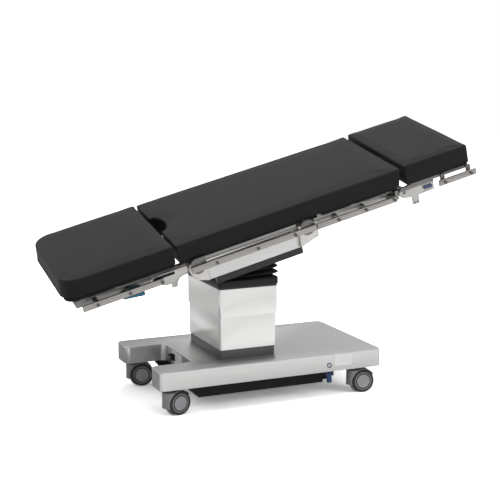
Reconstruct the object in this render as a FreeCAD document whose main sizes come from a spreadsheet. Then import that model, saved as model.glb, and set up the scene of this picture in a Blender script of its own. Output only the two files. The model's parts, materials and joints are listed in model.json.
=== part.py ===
import FreeCAD, Part
import os
import re
from FreeCAD import Placement, Rotation, Vector

# Operating table on a wheeled base with a telescopic column.
# Frame: origin on the floor under the column, +X to the head end, +Y away from
# the control side, +Z up. The tabletop is modelled level about the point where
# its two tilt axes cross, and then placed there with the tilt and pitch below.

SIZES = {
    # Base cover and frame
    "base_foot": 438, "base_head": 591, "base_half": 300, "base_top": 196, "base_under": 120,
    "base_corner": 28, "sheet": 2, "notch_depth": 188, "notch_half": 171, "notch_corner": 25,
    "frame_gap": 0.4, "frame_plate": 8, "rib": 5, "rib_clear": 30, "rib_inset": 120,
    "foot_inset": 16, "opening_edge": 14,
    # Black pan under the frame
    "pan_under": 55, "pan_foot": 246, "pan_slant": 54, "pan_half": 230, "pan_setback": 253,
    "pan_step": 45, "pan_step_half": 194, "pan_nose": 54, "pan_nose_half": 145, "pan_wall": 2.5,
    "pan_gap": 3,
    # Casters
    "wheel_radius": 50, "wheel_rim": 40, "tyre_width": 20, "wheel_gap": 17, "trail": 40,
    "caster_inset": 55, "caster_setback": 113, "stem_radius": 11, "stem_drop": 20,
    "boss_radius": 22, "boss_height": 38, "hood_clear": 3.5, "guard_wall": 2.6, "guard_from": 78,
    "body_radius": 29, "body_under": 34, "body_top": 101, "axle_radius": 6, "cap_radius": 30,
    "cap_step": 3, "web_width": 12, "tread_round": 4, "shaft_gap": 0.3, "running_gap": 0.5,
    # Pedal and fittings on the base
    "pedal_place": 337, "pedal_pin_side": 286, "pedal_pin_drop": 13, "pedal_pin": 6,
    "pedal_hub": 8, "pedal_toe_side": 296, "pedal_toe_height": 69, "pedal_wide": 24,
    "pedal_narrow": 19, "pedal_thick": 10, "lug_wall": 6, "lug_half_width": 10, "lug_drop": 9,
    "side_gap": 1, "plate_from": 355, "plate_to": 441, "plate_low": 142, "plate_high": 190,
    "plate_wall": 1, "ring_place": 332, "ring_height": 148, "ring_radius": 10.6, "ring_width": 3,
    "ring_wall": 2, "socket_from": -40, "socket_to": 80, "socket_low": 134, "socket_high": 188,
    "socket_plate": 3, "socket_first": 22, "socket_pitch": 34, "socket_wide": 26,
    "socket_reach": 14, "well_floor": 1, "inlet_place": 96, "inlet_wide": 34, "inlet_depth": 8,
    "inlet_wall": 3, "inlet_floor": 2, "pin_radius": 5, "pin_gap": 18, "pin_length": 12,
    "battery_foot": 261, "battery_front": 101, "battery_half": 90, "battery_top": 186,
    # Column, measured down from the crossing of the tilt axes or up from the base
    "column_half": 134.5, "column_side": 195, "column_corner": 14, "corner_step": 3,
    "sleeve": 2.5, "step_x": 2, "step_y": 3.5, "plinth_top": 330, "mid_clear": 38,
    "mid_drop": 100, "upper_drop": 190, "cap_drop": 69, "cap_wall": 8, "glide_height": 18,
    "glide_gap": 0.4, "mast_half": 75, "mast_side": 110, "mast_wall": 6, "mast_drop": 171,
    "inner_clear": 9, "foot_plate": 12, "rod_radius": 18, "barrel_radius": 30,
    "barrel_drop": 181, "rod_clear": 16, "barrel_floor": 5,
    # Bellows
    "lip_out": 3, "lip_drop": 35, "lip_wall": 4, "tip_half": 135, "tip_side": 196,
    "valley_half": 114, "valley_side": 175, "skin": 2.5, "folds": 5,
    # Tilt head
    "pivot_height": 566, "tilt": 11.9, "pitch": 15.91, "block_half": 45, "block_side": 48,
    "block_high": 30, "trunnion": 14, "trunnion_x": 98, "trunnion_y": 98, "lug_in": 52,
    "lug_out": 78, "lug_half": 30, "drive_x_from": 80, "drive_x_to": 106, "drive_half": 32,
    "case_corner": 6, "tray_lug_in": 58, "tray_lug_out": 84, "drive_y_from": 86,
    "drive_y_to": 112, "drive_radius": 22, "motor_radius": 15, "motor_length": 70,
    "motor_height": 62,
    # Slide bed, table frame; heights above the crossing of the tilt axes
    "tray_under": 98, "tray_plate": 8, "tray_half": 240, "tray_foot": 148, "tray_head": 249,
    "bar_under": 62, "bar_width": 28, "rail_t": 150, "rail_t_width": 16, "rail_t_height": 14,
    "carriage_foot": -45, "carriage_head": 105, "carriage_length": 60, "carriage_width": 36,
    "carriage_gap": 2, "carriage_top": 130, "deck": 10, "deck_foot": 60, "deck_head": 180,
    # Pads and baseplates
    "pad_top": 296, "pad_under": 222, "pad_half": 266, "pad_taper": 9, "pad_round": 12,
    "plate_thick": 8, "plate_inset": 4, "leg_foot": 776, "leg_head": 307, "leg_lean": 10,
    "foot_round": 50, "main_foot": 295, "main_head": 741, "main_recede": 35, "head_foot": 762,
    "head_head": 1072, "cutout_half": 82, "cutout_depth": 44, "cut_top": 75, "cut_under": 25,
    "slot_reach": 34,
    # Hinges and section frames
    "hinge_height": 185, "leg_hinge": -226, "back_hinge": 272, "head_hinge": 745,
    "housing_in": 240, "housing_out": 278, "leg_housing_foot": 264, "leg_housing_head": 188,
    "nose_height": 176, "nose_low": 136, "nose_length": 14, "leg_housing_under": 124,
    "housing_under": 111, "housing_top": 205, "housing_round": 6, "back_housing_foot": 230,
    "back_housing_head": 316, "back_housing_rise": 136, "hinge_cap": 34, "cap_lift": 4,
    "cap_in": 267.5, "cap_out": 279, "pin": 10, "arm_in": 215, "arm_out": 238, "arm_half": 15,
    "knuckle": 24, "beam_out": 262, "beam_foot": 186, "beam_head": 228, "cross_bar": 30,
    "post_half": 12, "fixing_half": 9, "panel_under": 110, "panel_top": 200, "panel_in": 263,
    "panel_out": 272, "panel_round": 2,
    # Equipment rails
    "rail_out": 290, "rail_width": 10, "rail_middle": 182, "rail_height": 25, "rail_round": 1.5,
    "spacer": 8, "screw": 5.5, "screw_head": 2.5, "seat_rail_foot": -258,
    "seat_rail_head": 305, "back_rail_foot": 312, "back_rail_head": 695, "leg_rail_foot": -722,
    "leg_rail_head": -379, "head_rail_foot": 908, "head_rail_head": 1093,
    # Leg section
    "leg_bracket_foot": -421, "leg_bracket_head": -272, "leg_bracket_under": 151,
    "bracket_rise": 24, "bracket_slope": 50, "slot_height": 7, "slot_from": 10, "slot_to": 92,
    "slot_drop": 5, "hook_place": -325, "hook_under": 131, "hook_width": 22, "arch_radius": 39,
    "link_from": 10, "link_to": 45, "leg_tube_end": -738, "leg_lever_pin": -478,
    "leg_lever_end": -556, "lever_height": 160, "lever_width": 13, "lever_pin": 5,
    "lever_lug": 9,
    # Head section
    "head_bracket_foot": 700, "head_bracket_head": 892, "head_bracket_in": 250,
    "head_bracket_low": 151, "bracket_step": 12, "bracket_lift": 8, "bracket_run": 40,
    "head_end_height": 58, "head_knuckle": 16, "head_pin": 8, "head_bar": 12,
    "block_place": 800, "block_width": 28, "block_low": 114, "block_bore": 4,
    "bore_offset": 7, "bore_lift": 9, "head_lever_pin": 874, "head_lever_end": 840,
    "head_lever_height": 178, "split": 3,
}

# Places along each section where a screw and spacer carry the rail
LEG_SCREWS = (-661, -525, -388)
SEAT_SCREWS = (-148, 36, 209)
BACK_SCREWS = (412, 544, 682)
HEAD_SCREWS = (935, 1066)

# Places of the pads under the baseplates and of the cross tubes between the side tubes
LEG_POSTS = (-700, -560, -330)
LEG_BEAM = -420
BACK_POSTS = (350, 510, 680)
BACK_BEAMS = (400, 560, 700)
HEAD_BEAMS = (820, 1040)

# Each caster's end of the base, its side of the base and its turn about the stem in degrees
FOOT_STEM = "-base_foot + caster_inset"
HEAD_STEM = "base_head - caster_setback"
CASTERS = {
    "near_foot": (FOOT_STEM, -1, 14),
    "near_head": (HEAD_STEM, -1, -6),
    "far_foot": (FOOT_STEM, 1, -12),
    "far_head": (HEAD_STEM, 1, 6),
}

# Heights and places that several pieces share
FRAME_UNDER = "base_under + sheet"
FRAME_TOP = "base_under + sheet + frame_plate"
NOTCH_WALL = "-base_foot + notch_depth"
CAP_LOW = "pivot_height - cap_drop"
DECK = "pivot_height - cap_drop + cap_wall"
LIP_TOP = "pivot_height - lip_drop"
MID_TOP = "pivot_height - mid_drop"
PLATE_UNDER = "pad_under - plate_thick"
STEM_SIDE = "(base_half - caster_inset)"

WORD = re.compile(r"[a-z][a-z_]*[a-z]")
TURN = {"x": Rotation(Vector(0, 1, 0), 90), "y": Rotation(Vector(1, 0, 0), -90), "z": Rotation()}

doc = FreeCAD.newDocument("OperatingTable")
sheet = doc.addObject("Spreadsheet::Sheet", "Sizes")
for row, (alias, size) in enumerate(SIZES.items(), start=1):
    sheet.set("A{}".format(row), alias)
    sheet.set("B{}".format(row), str(size))
    sheet.setAlias("B{}".format(row), alias)
doc.recompute()
nodes = []


# Helpers that bind a property to the sheet and make plain solids

def formula(size):
    return WORD.sub(lambda found: "Sizes." + found.group(0), str(size))


def bind(item, name, size):
    item.setExpression(name, formula(size))


def less(high, low):
    return "({}) - ({})".format(high, low)


def flank(side, inner, outer):
    """Span from inner to outer on the near (-1) or far (1) side."""
    if side > 0:
        return (inner, outer)
    return ("-({})".format(outer), "-({})".format(inner))


def both(half):
    return ("-({})".format(half), half)


def box(x, y, z):
    item = doc.addObject("Part::Box", "Box")
    for name, axis, span in (("Length", "x", x), ("Width", "y", y), ("Height", "z", z)):
        bind(item, name, less(span[1], span[0]))
        bind(item, "Placement.Base." + axis, span[0])
    return item


def rod(axis, at, span, radius):
    """Cylinder along an axis; at holds its other two coordinates in order."""
    item = doc.addObject("Part::Cylinder", "Rod")
    item.Placement = Placement(Vector(), TURN[axis])
    others = iter(at)
    for name in "xyz":
        bind(item, "Placement.Base." + name, span[0] if name == axis else next(others))
    bind(item, "Radius", radius)
    bind(item, "Height", less(span[1], span[0]))
    return item


def taper(low, high):
    """Solid between two level rectangles, each (z, x span, y span)."""
    item = doc.addObject("Part::Wedge", "Taper")
    item.Placement = Placement(Vector(), Rotation(Vector(1, 0, 0), 90))
    for name, level in (("Ymin", low), ("Ymax", high)):
        bind(item, name, level[0])
    for suffix, level in (("", low), ("2", high)):
        bind(item, "X" + suffix + "min", level[1][0])
        bind(item, "X" + suffix + "max", level[1][1])
        bind(item, "Z" + suffix + "min", "-({})".format(level[2][1]))
        bind(item, "Z" + suffix + "max", "-({})".format(level[2][0]))
    return item


def ramp(foot, head):
    """Solid between two upright rectangles, each (x, y span, z span)."""
    item = doc.addObject("Part::Wedge", "Ramp")
    item.Placement = Placement(Vector(), Rotation(Vector(0, 0, 1), -90))
    for name, end in (("Ymin", foot), ("Ymax", head)):
        bind(item, name, end[0])
    for suffix, end in (("", foot), ("2", head)):
        bind(item, "X" + suffix + "min", "-({})".format(end[1][1]))
        bind(item, "X" + suffix + "max", "-({})".format(end[1][0]))
        bind(item, "Z" + suffix + "min", end[2][0])
        bind(item, "Z" + suffix + "max", end[2][1])
    return item


def join(*items):
    item = doc.addObject("Part::MultiFuse", "Join")
    item.Shapes = list(items)
    item.Refine = True
    return item


def cut(base, *tools):
    item = doc.addObject("Part::Cut", "Cut")
    item.Base = base
    item.Tool = tools[0] if len(tools) == 1 else group(tools)
    item.Refine = True
    return item


def common(first, second):
    item = doc.addObject("Part::MultiCommon", "Common")
    item.Shapes = [first, second]
    return item


def group(items):
    item = doc.addObject("Part::Compound", "Group")
    item.Links = list(items)
    return item


def rounded(base, radius, chosen):
    """Fillet of the edges that the function chosen picks."""
    doc.recompute()
    edges = [number for number, edge in enumerate(base.Shape.Edges, start=1) if chosen(edge)]
    item = doc.addObject("Part::Fillet", "Rounded")
    item.Base = base
    item.Edges = [(number, radius, radius) for number in edges]
    return item


def upright(edge):
    way = edge.tangentAt(edge.FirstParameter)
    return abs(way.z) > 0.9


def top_edges(height):
    return lambda edge: abs(edge.BoundBox.ZMin - height) < 0.01 and edge.BoundBox.ZLength < 0.01


def node(name, items, place=None):
    item = group(items)
    item.Label = name
    if place:
        item.Placement = place
    nodes.append(item)
    return item


def table(name, items):
    """A node of the tabletop, placed with the tilt, then the pitch."""
    turn = Rotation(Vector(1, 0, 0), SIZES["tilt"]) * Rotation(Vector(0, 1, 0), -SIZES["pitch"])
    item = node(name, items, Placement(Vector(), turn))
    bind(item, "Placement.Base.z", "pivot_height")
    return item


# Wheeled base

def notched(grow, low, high, corner):
    """Base outline shrunk by grow, with the notch between its foot-end legs."""
    outline = box(("-base_foot + {}".format(grow), less("base_head", grow)),
                  both(less("base_half", grow)), (low, high))
    notch = box(("-base_foot - 1", NOTCH_WALL + " + {}".format(grow)),
                both("notch_half + {}".format(grow)), (less(low, 1), "({}) + 1".format(high)))
    return rounded(cut(outline, notch), corner, upright)


def base_cover():
    corner = min(SIZES["base_corner"], SIZES["notch_corner"])
    outer = notched("0", "base_under", "base_top", corner)
    outer = rounded(outer, SIZES["sheet"] * 1.5, top_edges(SIZES["base_top"]))
    inner = notched("sheet", "base_under - 1", "base_top - sheet", corner - SIZES["sheet"])
    opening = box(both("column_half - sleeve * 2 - step_x * 2 - opening_edge"),
                  both("column_side - sleeve * 2 - step_y * 2 - opening_edge"),
                  ("base_top - sheet - 1", "base_top + 1"))
    node("base_cover", [cut(outer, inner, opening)])


def pedal_lugs():
    """Ears under the frame that hold the pedal's pin, one on each side of its hub."""
    near = "pedal_place - pedal_wide / 2 - side_gap"
    far = "pedal_place + pedal_wide / 2 + side_gap"
    spans = ((near + " - lug_wall", near), (far, far + " + lug_wall"))
    return [box(span, ("-pedal_pin_side - lug_half_width", "-pedal_pin_side + lug_half_width"),
                (FRAME_UNDER + " - pedal_pin_drop - lug_drop", FRAME_UNDER)) for span in spans]


def base_frame():
    corner = min(SIZES["base_corner"], SIZES["notch_corner"]) - SIZES["sheet"]
    plate = notched("sheet + frame_gap", FRAME_UNDER, FRAME_TOP, corner)
    ribs = [box((NOTCH_WALL + " + rib_clear", "base_head - rib_inset"),
                flank(side, "notch_half - rib", "notch_half"),
                (FRAME_TOP, "base_top - sheet")) for side in (-1, 1)]
    foot = box(both("column_half - foot_inset"), both("column_side - foot_inset"),
               (FRAME_TOP, FRAME_TOP + " + foot_plate"))
    bosses, bores = [], []
    for end, side, _turn in CASTERS.values():
        at = (end, "{} * ".format(side) + STEM_SIDE)
        bosses.append(rod("z", at, ("base_under - sheet", "base_under + boss_height"), "boss_radius"))
        bores.append(rod("z", at, ("base_under - stem_drop", "base_under + boss_height - rib"),
                         "stem_radius + shaft_gap"))
    pin_bore = rod("x", ("-pedal_pin_side", FRAME_UNDER + " - pedal_pin_drop"),
                   ("pedal_place - pedal_wide * 2", "pedal_place + pedal_wide * 2"),
                   "pedal_pin + shaft_gap")
    node("base_frame", [cut(join(plate, foot, *ribs, *pedal_lugs(), *bosses), pin_bore, *bores)])


def pan_block(wall, top):
    """Outline of the pan drawn in by wall, as one solid."""
    low = "pan_under + {}".format(wall)
    foot = "-pan_foot + {}".format(wall)
    head = "base_head - pan_setback"
    side = both("pan_half - {}".format(wall))
    body = taper((low, (foot, head + " - {}".format(wall)), side),
                 (top, (foot + " - pan_slant", head + " - {}".format(wall)), side))
    step = box(("0", head + " + pan_step - {}".format(wall)),
               both("pan_step_half - {}".format(wall)), (low, top))
    nose = box(("0", head + " + pan_step + pan_nose - {}".format(wall)),
               both("pan_nose_half - {}".format(wall)), (low, top))
    notch = box(("-base_foot - pan_foot", NOTCH_WALL + " + pan_gap + {}".format(wall)),
                both("notch_half + pan_gap + {}".format(wall)), ("0", "base_top"))
    return cut(join(body, step, nose), notch)


def underpan():
    outer = pan_block("0", FRAME_UNDER)
    inner = pan_block("pan_wall", FRAME_UNDER + " + 1")
    node("underpan", [cut(outer, inner)])


def battery_pack():
    node("battery_pack", [box(("base_head - battery_foot", "base_head - battery_front"),
                              both("battery_half"), (FRAME_TOP, "battery_top"))])


def sockets():
    """Control sockets, mains inlet and earth pin on the notch's end wall."""
    middle = "(socket_low + socket_high) / 2"
    face = NOTCH_WALL + " - socket_plate"
    panel = box((face, NOTCH_WALL), ("socket_from", "socket_to"), ("socket_low", "socket_high"))
    wells = []
    for number in range(2):
        place = "socket_from + socket_first + {} * socket_pitch".format(number)
        wells.append(box((face + " - 1", NOTCH_WALL + " - well_floor"),
                         (place + " - socket_wide / 2", place + " + socket_wide / 2"),
                         (middle + " - socket_reach", middle + " + socket_reach")))
    node("socket_panel", [cut(panel, *wells)])
    place = "socket_from + inlet_place"
    shell = box((face + " - inlet_depth", face),
                (place + " - inlet_wide / 2", place + " + inlet_wide / 2"),
                (middle + " - socket_reach", middle + " + socket_reach"))
    well = box((face + " - inlet_depth - 1", face + " - inlet_floor"),
               (place + " - inlet_wide / 2 + inlet_wall", place + " + inlet_wide / 2 - inlet_wall"),
               (middle + " - socket_reach + inlet_wall", middle + " + socket_reach - inlet_wall"))
    earth = rod("x", ("socket_to + pin_gap", middle), (NOTCH_WALL + " - pin_length", NOTCH_WALL),
                "pin_radius")
    node("mains_inlet", [cut(shell, well), earth])


def base_fittings():
    node("side_plate", [box(("plate_from", "plate_to"), ("-base_half - plate_wall", "-base_half"),
                            ("plate_low", "plate_high"))])
    at = ("ring_place", "ring_height")
    ring = rod("y", at, ("-base_half - ring_wall", "-base_half"), "ring_radius")
    hole = rod("y", at, ("-base_half - ring_wall - 1", "-base_half + 1"), "ring_radius - ring_width")
    node("marker_ring", [cut(ring, hole)])


def brake_pedal():
    pin_height = FRAME_UNDER + " - pedal_pin_drop"
    reach = "pedal_wide / 2 + side_gap + lug_wall + side_gap"
    pin = rod("x", ("-pedal_pin_side", pin_height),
              ("pedal_place - ({})".format(reach), "pedal_place + {}".format(reach)), "pedal_pin")
    hub = rod("x", ("-pedal_pin_side", pin_height),
              ("pedal_place - pedal_wide / 2", "pedal_place + pedal_wide / 2"), "pedal_hub")
    toe = ("-pedal_toe_side", "-pedal_toe_side + pedal_thick")
    heel = ("-pedal_pin_side - pedal_thick / 2", "-pedal_pin_side + pedal_thick / 2")
    arm = taper(("pedal_toe_height",
                 ("pedal_place - pedal_narrow / 2", "pedal_place + pedal_narrow / 2"), toe),
                (pin_height, ("pedal_place - pedal_wide / 2", "pedal_place + pedal_wide / 2"), heel))
    node("brake_pedal", [join(pin, hub, arm)])


def caster(name, end, side, turn):
    """Twin-wheel caster, modelled about its stem with the wheels trailing."""
    place = Placement(Vector(), Rotation(Vector(0, 0, 1), turn))
    wheel = ("trail", "wheel_radius")
    hood_radius = "wheel_radius + hood_clear + guard_wall"
    outer_side = "wheel_gap / 2 + tyre_width"
    envelope = "wheel_radius + hood_clear"
    web = rod("y", wheel, both("web_width / 2"), hood_radius)
    guard = rod("y", wheel, both(outer_side), hood_radius)
    inside = rod("y", wheel, both(outer_side + " + 1"), envelope)
    above = box(("trail - wheel_radius * 2", "trail + wheel_radius * 2"), both("wheel_radius * 2"),
                ("guard_from", "wheel_radius * 3"))
    arch = common(cut(guard, inside), above)
    body = rod("z", ("0", "0"), ("body_under", "body_top"), "body_radius")
    stem = rod("z", ("0", "0"), ("body_top - rib", "base_under + boss_height - rib - side_gap"), "stem_radius")
    wells = [rod("y", wheel, flank(one, "web_width / 2", "wheel_radius * 2"), envelope)
             for one in (-1, 1)]
    bore = rod("y", wheel, both("wheel_radius * 2"), "axle_radius + shaft_gap")
    trunk = cut(join(body, web), bore, *wells)
    housing = node("caster_housing_" + name, [join(trunk, arch, stem)], place)
    tyres, discs = [], []
    for one in (-1, 1):
        tread = rod("y", wheel, flank(one, "wheel_gap / 2", outer_side), "wheel_radius")
        tread = rounded(tread, SIZES["tread_round"],
                        lambda edge: edge.Length > SIZES["wheel_radius"])
        hole = rod("y", wheel, flank(one, "0", "wheel_radius * 2"), "wheel_rim")
        tyres.append(cut(tread, hole))
        discs.append(rod("y", wheel, flank(one, "wheel_gap / 2", outer_side + " - cap_step"), "wheel_rim"))
        discs.append(rod("y", wheel, flank(one, outer_side + " - cap_step", outer_side), "cap_radius"))
    axle = rod("y", wheel, both("wheel_gap"), "axle_radius")
    tyre = node("caster_tyres_" + name, tyres, place)
    hub = node("caster_hubs_" + name, [join(axle, *discs)], place)
    for item in (housing, tyre, hub):
        bind(item, "Placement.Base.x", end)
        bind(item, "Placement.Base.y", "{} * ".format(side) + STEM_SIDE)


# Telescopic column

def sleeve(stage, low, high):
    """Rounded tube; stage 0 is the outermost sleeve."""
    draw = "({}) * (sleeve + ".format(stage)
    half = "column_half - " + draw + "step_x)"
    side = "column_side - " + draw + "step_y)"
    radius = SIZES["column_corner"] - SIZES["corner_step"] * stage
    outer = rounded(box(both(half), both(side), (low, high)), radius, upright)
    inner = rounded(box(both(half + " - sleeve"), both(side + " - sleeve"),
                        (less(low, 1), "({}) + 1".format(high))),
                    radius - SIZES["sleeve"], upright)
    return cut(outer, inner)


def glide(stage, top):
    """Low-friction band round the top of a sleeve, inside the next one out."""
    draw = "({}) * (sleeve + ".format(stage)
    half = "column_half - " + draw + "step_x)"
    side = "column_side - " + draw + "step_y)"
    span = ("({}) - glide_height".format(top), top)
    radius = SIZES["column_corner"] - SIZES["corner_step"] * stage
    outer = rounded(box(both(half + " + step_x - glide_gap"), both(side + " + step_y - glide_gap"),
                        span), radius, upright)
    inner = rounded(box(both(half), both(side), (less(span[0], 1), "({}) + 1".format(top))),
                    radius, upright)
    return cut(outer, inner)


def column():
    node("column_plinth", [sleeve(2, "base_top", "plinth_top")])
    node("plinth_glides", [glide(2, "plinth_top")])
    node("mid_sleeve", [sleeve(1, "base_top + mid_clear", MID_TOP)])
    node("mid_glides", [glide(1, MID_TOP)])
    node("upper_sleeve", [sleeve(0, "pivot_height - upper_drop", CAP_LOW)])
    mast_top = "pivot_height - mast_drop"
    outer = box(both("mast_half"), both("mast_side"), (FRAME_TOP + " + foot_plate", mast_top))
    bore = box(both("mast_half - mast_wall"), both("mast_side - mast_wall"),
               (FRAME_TOP + " + foot_plate - 1", mast_top + " + 1"))
    node("outer_mast", [cut(outer, bore)])
    fit = " - mast_wall - running_gap"
    low = "base_top + inner_clear"
    slider = box(both("mast_half" + fit), both("mast_side" + fit), (low, CAP_LOW))
    hollow = box(both("mast_half" + fit + " - mast_wall"), both("mast_side" + fit + " - mast_wall"),
                 (low + " - 1", CAP_LOW + " + 1"))
    node("inner_mast", [cut(slider, hollow)])
    floor = FRAME_TOP + " + foot_plate"
    barrel_top = "pivot_height - barrel_drop"
    barrel = rod("z", ("0", "0"), (floor, barrel_top), "barrel_radius")
    cavity = rod("z", ("0", "0"), (floor + " + barrel_floor", barrel_top + " + 1"),
                 "rod_radius + shaft_gap")
    node("lift_cylinder", [cut(barrel, cavity)])
    node("lift_rod", [rod("z", ("0", "0"), ("base_top + rod_clear", CAP_LOW), "rod_radius")])


def column_head():
    cap = rounded(box(both("column_half"), both("column_side"), (CAP_LOW, DECK)),
                  SIZES["column_corner"], upright)
    lugs = []
    for side in (-1, 1):
        span = flank(side, "lug_in", "lug_out")
        lugs.append(box(span, both("lug_half"), (DECK, "pivot_height")))
        lugs.append(rod("x", ("0", "pivot_height"), span, "lug_half"))
    bore = rod("x", ("0", "pivot_height"), both("lug_out + 1"), "trunnion + shaft_gap")
    node("column_head", [cut(join(cap, *lugs), bore)])
    case = box(("drive_x_from", "drive_x_to"), both("drive_half"), (DECK, "pivot_height + drive_half"))
    case = rounded(case, SIZES["case_corner"], upright)
    hole = rod("x", ("0", "pivot_height"), ("drive_x_from - 1", "trunnion_x + side_gap"),
               "trunnion + shaft_gap")
    node("lateral_drive", [cut(case, hole)])
    lip_half = "column_half + lip_out"
    lip_side = "column_side + lip_out"
    ring = rounded(box(both(lip_half), both(lip_side), (DECK, LIP_TOP)), SIZES["column_corner"], upright)
    room = rounded(box(both(lip_half + " - lip_wall"), both(lip_side + " - lip_wall"),
                       (DECK + " - 1", LIP_TOP + " + 1")),
                   SIZES["column_corner"] - SIZES["lip_wall"], upright)
    node("bellows_lip", [cut(ring, room)])


def bellows_shell(draw):
    """Loft through the tips and valleys, turned step by step towards the tray."""
    rings = []
    start = SIZES["shaft_gap"] - SIZES["lip_drop"]
    finish = SIZES["tray_under"] - SIZES["shaft_gap"]
    count = 2 * SIZES["folds"] + 1
    for number in range(int(count) + 1):
        share = number / int(count)
        turn = (Rotation(Vector(1, 0, 0), share * SIZES["tilt"])
                * Rotation(Vector(0, 1, 0), -share * SIZES["pitch"]))
        tip = number % 2 == 0
        half = SIZES["tip_half" if tip else "valley_half"] - draw
        side = SIZES["tip_side" if tip else "valley_side"] - draw
        height = start + share * (finish - start)
        corners = [Vector(-half, -side, height), Vector(half, -side, height),
                   Vector(half, side, height), Vector(-half, side, height)]
        corners = [turn.multVec(corner) + Vector(0, 0, SIZES["pivot_height"]) for corner in corners]
        rings.append(Part.makePolygon(corners + corners[:1]))
    return Part.makeLoft(rings, True, True)


def bellows():
    item = doc.addObject("Part::Feature", "Bellows")
    item.Shape = bellows_shell(0).cut(bellows_shell(SIZES["skin"]))
    node("bellows", [item])


# Tilt head: the cross block and what turns on it

def tilt_block():
    block = box(both("block_half"), both("block_side"), both("block_high"))
    arms = [rod("x", ("0", "0"), both("trunnion_x"), "trunnion"),
            rod("y", ("0", "0"), both("trunnion_y"), "trunnion")]
    item = node("cross_block", [join(block, *arms)],
                Placement(Vector(), Rotation(Vector(1, 0, 0), SIZES["tilt"])))
    bind(item, "Placement.Base.z", "pivot_height")


def slide_bed():
    plate = box(("-tray_foot", "tray_head"), both("tray_half"), ("tray_under", "tray_under + tray_plate"))
    pieces = [plate]
    for side in (-1, 1):
        pieces.append(box(("-tray_foot", "tray_head"), flank(side, "tray_half - bar_width", "tray_half"),
                          ("bar_under", "tray_under")))
        span = flank(side, "tray_lug_in", "tray_lug_out")
        pieces.append(box(both("lug_half"), span, ("0", "tray_under")))
        pieces.append(rod("y", ("0", "0"), span, "lug_half"))
    bore = rod("y", ("0", "0"), both("tray_lug_out + 1"), "trunnion + shaft_gap")
    table("slide_bed", [cut(join(*pieces), bore)])
    rails = [box(("-tray_foot", "tray_head"),
                 (middle + " - rail_t_width / 2", middle + " + rail_t_width / 2"),
                 ("tray_under + tray_plate", "tray_under + tray_plate + rail_t_height"))
             for middle in ("-rail_t", "rail_t")]
    table("linear_rails", rails)
    case = box(both("drive_radius"), ("drive_y_from", "drive_y_to"), ("0", "tray_under"))
    drum = rod("y", ("0", "0"), ("drive_y_from", "drive_y_to"), "drive_radius")
    motor = rod("x", ("(drive_y_from + drive_y_to) / 2", "motor_height"),
                ("-drive_radius - motor_length", "0"), "motor_radius")
    hole = rod("y", ("0", "0"), ("0", "trunnion_y + side_gap"), "trunnion + shaft_gap")
    table("pitch_drive", [cut(join(case, drum, motor), hole)])


# Sections of the tabletop

def arm_span(places, side, outer):
    """Blocks from a side tube outwards, one at each place."""
    return [box(("{} - fixing_half".format(place), "{} + fixing_half".format(place)),
                flank(side, "arm_out", outer), ("hinge_height - arm_half", "hinge_height + arm_half / 2"))
            for place in places]


def beam(side, foot, head):
    return box((foot, head), flank(side, "arm_in", "arm_out"),
               ("hinge_height - arm_half", "hinge_height + arm_half"))


def cross_beam(place, reach):
    return box((less(place, "cross_bar / 2"), "({}) + cross_bar / 2".format(place)), both(reach),
               ("hinge_height - arm_half", "hinge_height + arm_half"))


def plate_posts(side, places):
    """Pads between a side tube and the baseplate above it."""
    return [box(("{} - post_half".format(place), "{} + post_half".format(place)),
                flank(side, "arm_in", "arm_out"), ("hinge_height + arm_half", PLATE_UNDER))
            for place in places]


def rail(foot, head, screws):
    """Equipment rail with the spacer and screw at each fixing, both sides."""
    pieces = []
    for side in (-1, 1):
        bar = box((foot, head), flank(side, "rail_out - rail_width", "rail_out"),
                  ("rail_middle - rail_height / 2", "rail_middle + rail_height / 2"))
        bar = rounded(bar, SIZES["rail_round"], lambda edge: edge.Length > SIZES["rail_height"] * 1.5)
        parts = [bar]
        for place in screws:
            parts.append(rod("y", (place, "rail_middle"),
                             flank(side, "panel_out", "rail_out - rail_width"), "spacer"))
            parts.append(rod("y", (place, "rail_middle"),
                             flank(side, "rail_out - side_gap", "rail_out + screw_head"), "screw"))
        pieces.append(join(*parts))
    return pieces


def carriages():
    """Blocks that run on the linear rails, with the channel cut out."""
    blocks = []
    for middle in ("-rail_t", "rail_t"):
        for foot in ("carriage_foot", "carriage_head"):
            block = box((foot, foot + " + carriage_length"),
                        (middle + " - carriage_width / 2", middle + " + carriage_width / 2"),
                        ("tray_under + tray_plate + carriage_gap", "carriage_top"))
            channel = box((foot + " - 1", foot + " + carriage_length + 1"),
                          (middle + " - rail_t_width / 2 - shaft_gap",
                           middle + " + rail_t_width / 2 + shaft_gap"),
                          ("tray_under", "tray_under + tray_plate + rail_t_height + shaft_gap"))
            blocks.append(cut(block, channel))
    return blocks


def leg_housing(side):
    """Rounded casting round the leg hinge, with the hinge cap on its outer face."""
    span = flank(side, "housing_in", "housing_out")
    at = ("leg_hinge", "hinge_height")
    shell = ramp(("leg_hinge", span, ("leg_housing_under", "housing_top")),
                 ("-leg_housing_head", span, ("housing_under", "housing_top")))
    nose = ramp(("-leg_housing_foot", span, ("nose_height", "hinge_height")),
                ("-leg_housing_foot + nose_length", span, ("nose_low", "hinge_height")))
    under = ramp(("-leg_housing_foot + nose_length", span, ("nose_low", "hinge_height")),
                 ("leg_hinge", span, ("leg_housing_under", "hinge_height")))
    end = common(rod("y", at, span, "leg_housing_foot + leg_hinge"),
                 box(("-leg_housing_foot", "leg_hinge"), span, ("hinge_height", "housing_top")))
    cap_at = ("leg_hinge", "hinge_height + cap_lift")
    cap_span = flank(side, "cap_in", "cap_out")
    cap = rod("y", cap_at, cap_span, "hinge_cap")
    crown = box(("leg_hinge", "-leg_housing_head"), cap_span,
                ("hinge_height", "hinge_height + cap_lift + hinge_cap"))
    pin = rod("y", at, flank(side, "arm_in - side_gap", "housing_in + side_gap"), "pin")
    return join(shell, nose, under, end, cap, crown, pin)


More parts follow.
